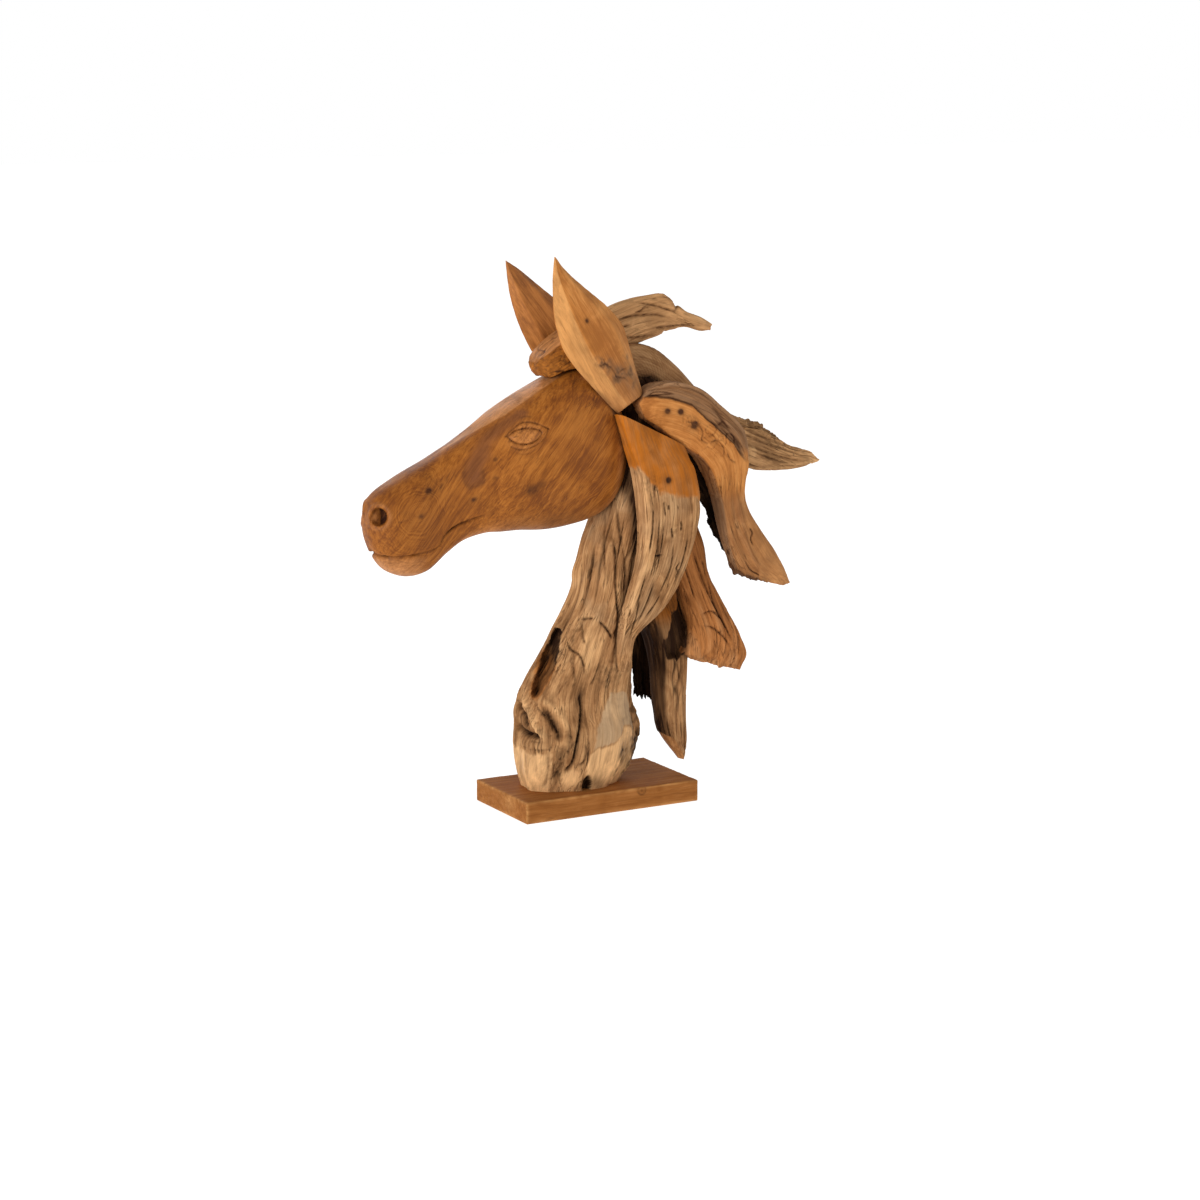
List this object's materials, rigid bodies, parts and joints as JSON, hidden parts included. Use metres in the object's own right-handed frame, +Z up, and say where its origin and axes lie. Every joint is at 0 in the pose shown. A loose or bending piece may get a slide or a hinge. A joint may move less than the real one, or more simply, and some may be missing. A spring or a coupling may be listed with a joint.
{
  "type": "driftwood horse head sculpture",
  "caption": "Horse's head and neck put together from carved teak and weathered root wood, with leaf-shaped ears and a mane of flowing locks, on a rectangular plank plinth.",
  "frame": {"origin": "centre of the plinth's underside", "axes": "+Z up; +X along the plinth from the muzzle towards the mane, so the horse looks along -X; -Y is the horse's left side, which the picture shows"},
  "size_m": [0.711, 0.1676, 0.759],
  "materials": {
    "carved_teak": "carved and sanded smooth, oiled, warm orange-brown with darker heartwood patches and small knots",
    "sawn_teak": "sawn and sanded face, golden orange with round knots and short dark cracks",
    "weathered_root": "weathered root wood, tan to grey-brown, with long grooves and open cracks along the grain",
    "red_teak": "split face, red-orange, rough, with dark edges and cracks",
    "dark_bark": "rotted bark side, almost black-brown, ragged and dull",
    "plank_teak": "planed plank, brown, satin, with worn paler edges"
  },
  "bodies": {
    "root": {"plinth": "plank_teak", "head": "carved_teak", "neck": "weathered_root", "neck_slab_near": "weathered_root", "neck_slab_far": "dark_bark", "ear_near": "sawn_teak", "ear_far": "carved_teak", "forelock": "carved_teak", "crest_lock": "weathered_root", "upper_lock": "weathered_root", "kneed_lock": "sawn_teak", "bark_flake": "dark_bark", "foot_lock": "red_teak", "spike_lock": "weathered_root"}
  },
  "joints": []
}
